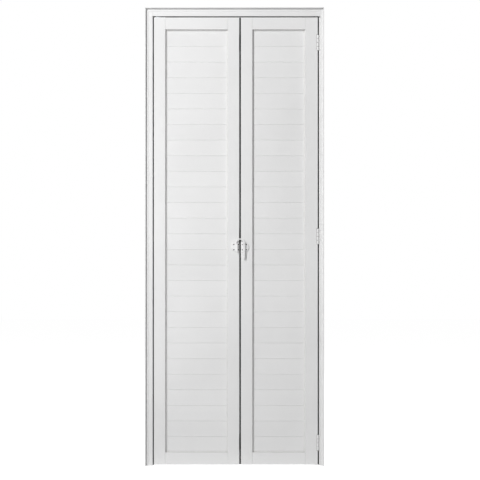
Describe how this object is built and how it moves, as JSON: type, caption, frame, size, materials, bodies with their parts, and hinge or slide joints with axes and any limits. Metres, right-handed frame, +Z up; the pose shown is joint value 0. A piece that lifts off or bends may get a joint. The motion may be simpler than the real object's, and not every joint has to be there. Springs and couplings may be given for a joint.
{
  "type": "bifold door",
  "caption": "Framed bifold door in white aluminium with plank-panelled leaves that fold on butt hinges, a guide wheel in a head track and a hook latch across the fold.",
  "frame": {"origin": "on the floor, at the middle of the frame's width and of the whole depth", "axes": "+Z up, +Y from the viewer into the wall, +X to the viewer's right"},
  "size_m": [0.82, 0.076, 2.1],
  "materials": {
    "white_powder_coat": "satin powder coat",
    "zinc_plated_steel": "zinc plated",
    "blackened_steel": "black oxide",
    "cast_aluminium": "as cast",
    "grey_pile": "brushed pile",
    "black_rubber": "extruded rubber",
    "dark_plastic": "moulded",
    "nylon": "moulded nylon"
  },
  "bodies": {
    "frame": {"left_jamb": "white_powder_coat", "right_jamb": "white_powder_coat", "head": "white_powder_coat", "left_corner_key": "cast_aluminium", "right_corner_key": "cast_aluminium", "corner_key_screws": "zinc_plated_steel", "guide_track": "white_powder_coat", "track_screws": "zinc_plated_steel", "closing_strip": "white_powder_coat", "pile_seal": "grey_pile", "jamb_gasket": "black_rubber", "head_gasket": "black_rubber", "jamb_hinge_pins": "zinc_plated_steel", "jamb_hinge_frame_screws": "zinc_plated_steel", "upper_jamb_hinge_frame_flap": "white_powder_coat", "middle_jamb_hinge_frame_flap": "white_powder_coat", "lower_jamb_hinge_frame_flap": "white_powder_coat"},
    "right_leaf": {"fold_gasket": "black_rubber", "fold_hinge_pins": "zinc_plated_steel", "latch_pivot": "white_powder_coat", "latch_plate": "white_powder_coat", "latch_plate_screws": "blackened_steel", "lower_fold_hinge_right_flap": "white_powder_coat", "lower_jamb_hinge_leaf_flap": "white_powder_coat", "middle_fold_hinge_right_flap": "white_powder_coat", "middle_jamb_hinge_leaf_flap": "white_powder_coat", "right_bottom_rail": "white_powder_coat", "right_corner_blocks": "cast_aluminium", "right_corner_screws": "zinc_plated_steel", "right_end_caps": "dark_plastic", "right_fold_stile": "white_powder_coat", "right_hinge_screws": "zinc_plated_steel", "right_hinge_stile": "white_powder_coat", "right_planks": "white_powder_coat", "right_rail_beads": "white_powder_coat", "right_side_beads": "white_powder_coat", "right_top_rail": "white_powder_coat", "upper_fold_hinge_right_flap": "white_powder_coat", "upper_jamb_hinge_leaf_flap": "white_powder_coat"},
    "left_leaf": {"left_bottom_rail": "white_powder_coat", "left_corner_blocks": "cast_aluminium", "left_corner_screws": "zinc_plated_steel", "left_end_caps": "dark_plastic", "left_fold_stile": "white_powder_coat", "left_hinge_screws": "zinc_plated_steel", "left_lead_stile": "white_powder_coat", "left_planks": "white_powder_coat", "left_rail_beads": "white_powder_coat", "left_side_beads": "white_powder_coat", "left_top_rail": "white_powder_coat", "upper_fold_hinge_left_flap": "white_powder_coat", "middle_fold_hinge_left_flap": "white_powder_coat", "lower_fold_hinge_left_flap": "white_powder_coat", "latch_keeper": "white_powder_coat", "latch_keeper_screws": "blackened_steel", "guide_bracket": "zinc_plated_steel", "guide_bracket_screws": "zinc_plated_steel", "guide_pin": "zinc_plated_steel"},
    "latch_lever": {"latch_lever": "white_powder_coat"},
    "guide_wheel": {"guide_wheel": "nylon"}
  },
  "joints": [
    {"name": "right_leaf_swing", "type": "hinge", "parent": "frame", "child": "right_leaf", "pos_m": [0.3824, -0.017, 1.05], "axis": [0, 0, 1], "range_deg": [0, 85]},
    {"name": "left_leaf_fold", "type": "hinge", "parent": "right_leaf", "child": "left_leaf", "pos_m": [0.02545, 0.0096, 1.05], "axis": [0, 0, 1], "range_deg": [-170, 0]},
    {"name": "guide_wheel_spin", "type": "hinge", "parent": "left_leaf", "child": "guide_wheel", "pos_m": [-0.3315, -0.017, 2.068], "axis": [0, 0, 1], "continuous": true},
    {"name": "latch_turn", "type": "hinge", "parent": "right_leaf", "child": "latch_lever", "pos_m": [0.04345, 0, 1.02], "axis": [0, 1, 0], "range_deg": [-10, 25]}
  ],
  "couplings": [
    {"joint": "left_leaf_fold", "follows": "right_leaf_swing", "ratio": -2}
  ]
}
